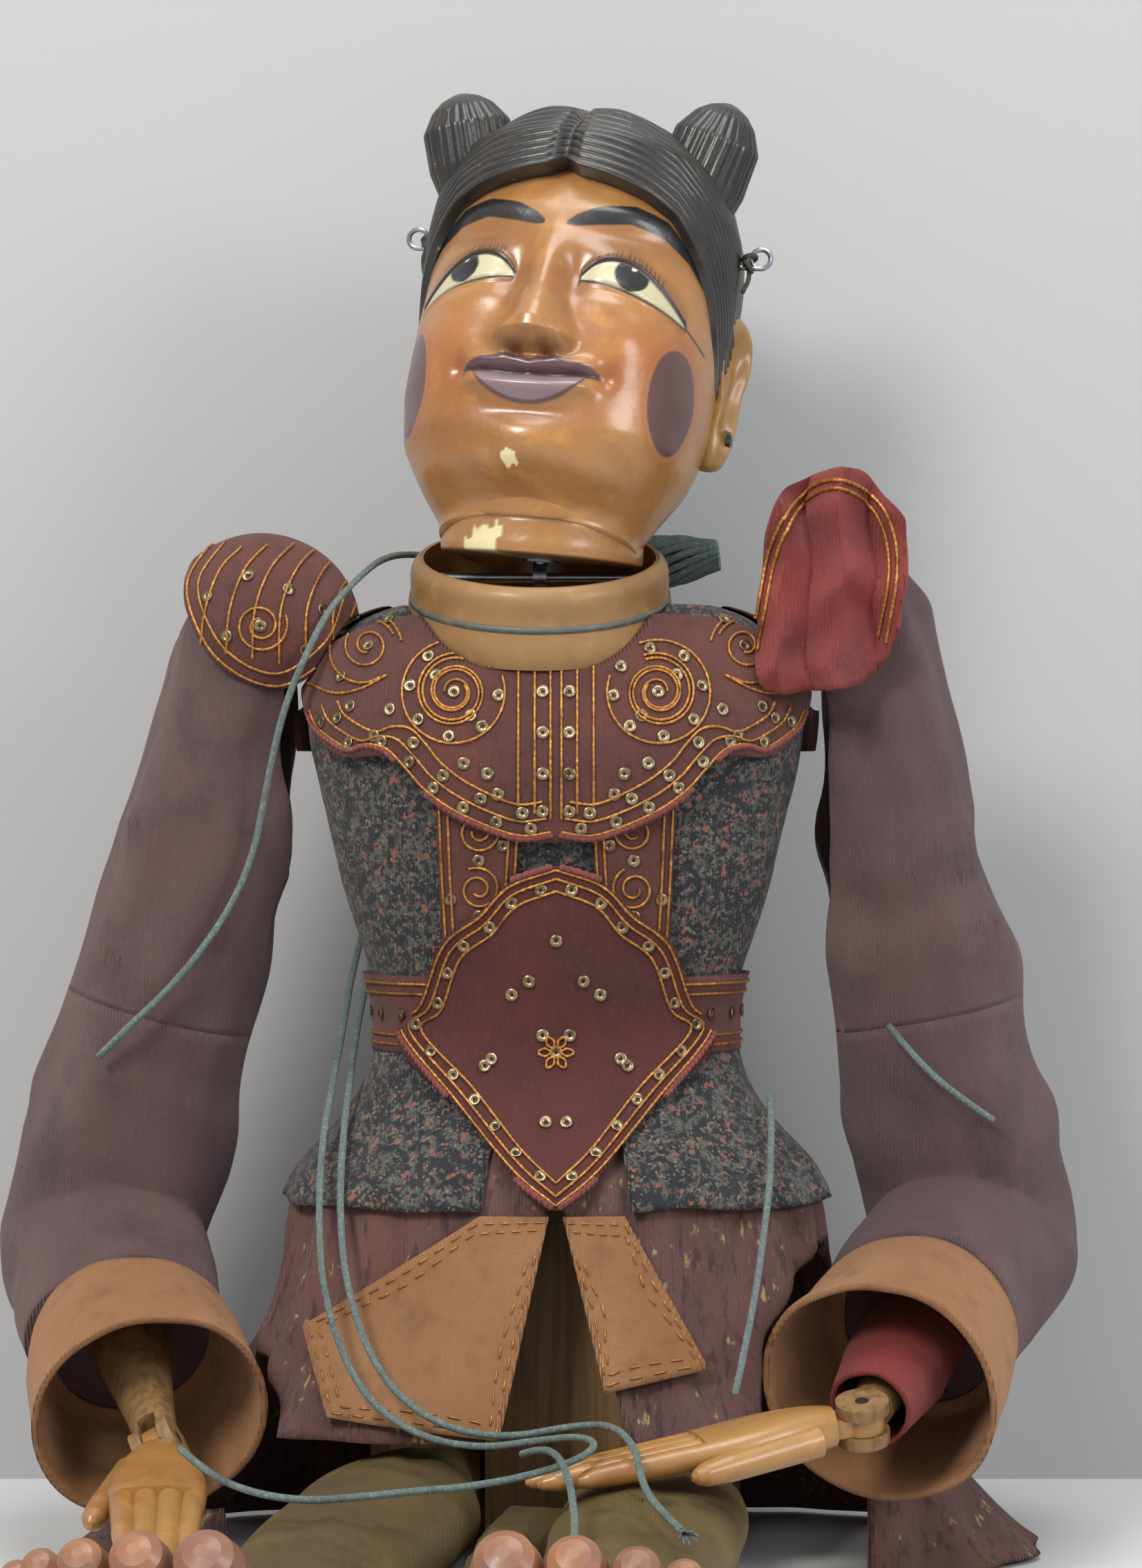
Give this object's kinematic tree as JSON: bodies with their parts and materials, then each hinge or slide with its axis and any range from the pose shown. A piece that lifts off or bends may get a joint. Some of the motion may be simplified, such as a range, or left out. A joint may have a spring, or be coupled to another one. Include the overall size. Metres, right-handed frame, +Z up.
{
  "type": "string marionette",
  "caption": "Seated carved wooden string marionette in cloth costume, with a turning head, swinging jointed arms and hinged legs.",
  "frame": {"origin": "middle of the flat seat face under the trunk, on the surface that the puppet sits on", "axes": "+Z up out of the seat, -Y the way the puppet faces, +X its own left"},
  "size_m": [0.334, 0.3859, 0.4415],
  "materials": {
    "raw_wood": "plain",
    "lacquer": "glossy lacquer",
    "dark_lacquer": "satin black lacquer",
    "wire": "bare wire",
    "print": "printed cotton",
    "embroidery": "couched gold cord and sequins on cotton",
    "ikat": "ikat cotton",
    "tan": "plain cotton",
    "sleeve": "plain cotton",
    "lining": "plain cotton",
    "olive": "plain cotton",
    "cord": "braided cotton"
  },
  "bodies": {
    "torso": {"trunk": "raw_wood", "neck_ring": "lacquer", "neck_cross_pin": "wire", "shoulder_pins": "raw_wood", "hip_axle": "raw_wood", "bodice": "print", "peplum": "print", "collar": "embroidery", "breast_strips": "embroidery", "belt": "embroidery", "apron": "embroidery", "epaulette_right": "embroidery", "epaulette_left": "lining", "skirt": "ikat", "front_flaps": "tan", "lap_cloth": "olive", "rope_hank": "cord", "arm_cord_right": "cord", "hand_cord_right": "lacquer", "waist_cord_inner": "cord", "lap_cord": "cord", "arm_cord_left": "cord"},
    "neck_link": {"neck_eye": "wire"},
    "head": {"head": "lacquer", "hair_bun_right": "dark_lacquer", "hair_bun_left": "dark_lacquer", "ear_plugs": "dark_lacquer", "string_eyes": "wire"},
    "upper_arm_right": {"upper_arm_right": "raw_wood", "sleeve_right": "sleeve", "elbow_pin_right": "wire"},
    "forearm_right": {"forearm_right": "lacquer", "elbow_sleeve_right": "sleeve", "cuff_right": "tan", "wrist_pin_right": "wire"},
    "hand_right": {"hand_right": "lacquer"},
    "thigh_right": {"thigh_right": "raw_wood", "trouser_leg_right": "olive", "knee_pin_right": "wire"},
    "shin_right": {"shin_right": "lacquer", "ankle_pin_right": "wire"},
    "foot_right": {"foot_right": "lacquer"},
    "upper_arm_left": {"upper_arm_left": "raw_wood", "sleeve_left": "sleeve", "elbow_pin_left": "wire", "sleeve_cord_left": "sleeve"},
    "forearm_left": {"forearm_left": "lacquer", "elbow_sleeve_left": "sleeve", "cuff_left": "tan", "wrist_pin_left": "wire", "under_cuff_left": "lining"},
    "hand_left": {"hand_left": "lacquer"},
    "thigh_left": {"thigh_left": "raw_wood", "trouser_leg_left": "olive", "knee_pin_left": "wire"},
    "shin_left": {"shin_left": "lacquer", "ankle_pin_left": "wire"},
    "foot_left": {"foot_left": "lacquer"}
  },
  "joints": [
    {"name": "head_nod", "type": "hinge", "parent": "torso", "child": "neck_link", "pos_m": [-0.005, -0.012, 0.292], "axis": [1, 0, 0], "range_deg": [0, 30]},
    {"name": "head_turn", "type": "hinge", "parent": "neck_link", "child": "head", "pos_m": [-0.005, -0.012, 0.292], "axis": [0.0872, 0, 0.9962], "range_deg": [-45, 70]},
    {"name": "shoulder_swing_right", "type": "hinge", "parent": "torso", "child": "upper_arm_right", "pos_m": [-0.09, 0.004, 0.276], "axis": [-1, 0, 0], "range_deg": [0, 90], "deforming": ["epaulette_right", "arm_cord_right", "hand_cord_right"]},
    {"name": "elbow_right", "type": "hinge", "parent": "upper_arm_right", "child": "forearm_right", "pos_m": [-0.14, 0.012, 0.09], "axis": [-0.8991, -0.375, 0.2256], "range_deg": [0, 50], "deforming": ["elbow_sleeve_right", "hand_cord_right"]},
    {"name": "wrist_right", "type": "hinge", "parent": "forearm_right", "child": "hand_right", "pos_m": [-0.112, -0.084, 0.042], "axis": [-0.862, 0.002, -0.5069], "range_deg": [0, 30], "deforming": ["hand_cord_right"]},
    {"name": "hip_right", "type": "hinge", "parent": "torso", "child": "thigh_right", "pos_m": [-0.036, -0.016, 0.022], "axis": [1, 0, 0], "range_deg": [0, 85], "deforming": ["trouser_leg_right"]},
    {"name": "knee_right", "type": "hinge", "parent": "thigh_right", "child": "shin_right", "pos_m": [-0.058, -0.134, 0.018], "axis": [0.9831, -0.1833, 0], "range_deg": [0, 90], "deforming": ["trouser_leg_right"]},
    {"name": "ankle_right", "type": "hinge", "parent": "shin_right", "child": "foot_right", "pos_m": [-0.08, -0.252, 0.0182], "axis": [-0.9831, 0.1833, 0], "range_deg": [0, 25]},
    {"name": "shoulder_swing_left", "type": "hinge", "parent": "torso", "child": "upper_arm_left", "pos_m": [0.09, 0.004, 0.276], "axis": [-1, 0, 0], "range_deg": [0, 90], "deforming": ["epaulette_left", "arm_cord_left", "waist_cord_inner", "lap_cord"]},
    {"name": "elbow_left", "type": "hinge", "parent": "upper_arm_left", "child": "forearm_left", "pos_m": [0.128, 0.012, 0.09], "axis": [-0.9006, 0.4014, -0.1667], "range_deg": [0, 35], "deforming": ["elbow_sleeve_left", "skirt", "peplum", "sleeve_cord_left", "arm_cord_left", "waist_cord_inner", "lap_cord"]},
    {"name": "wrist_left", "type": "hinge", "parent": "forearm_left", "child": "hand_left", "pos_m": [0.086, -0.098, 0.052], "axis": [0.0593, 0.3057, -0.9503], "range_deg": [0, 20], "deforming": ["arm_cord_left", "waist_cord_inner", "lap_cord"]},
    {"name": "hip_left", "type": "hinge", "parent": "torso", "child": "thigh_left", "pos_m": [0.036, -0.016, 0.022], "axis": [1, 0, 0], "range_deg": [0, 85], "deforming": ["trouser_leg_left"]},
    {"name": "knee_left", "type": "hinge", "parent": "thigh_left", "child": "shin_left", "pos_m": [0.022, -0.136, 0.018], "axis": [0.9933, -0.1159, 0], "range_deg": [0, 90], "deforming": ["trouser_leg_left"]},
    {"name": "ankle_left", "type": "hinge", "parent": "shin_left", "child": "foot_left", "pos_m": [0.008, -0.256, 0.0182], "axis": [-0.9933, 0.1159, 0], "range_deg": [0, 25]}
  ]
}
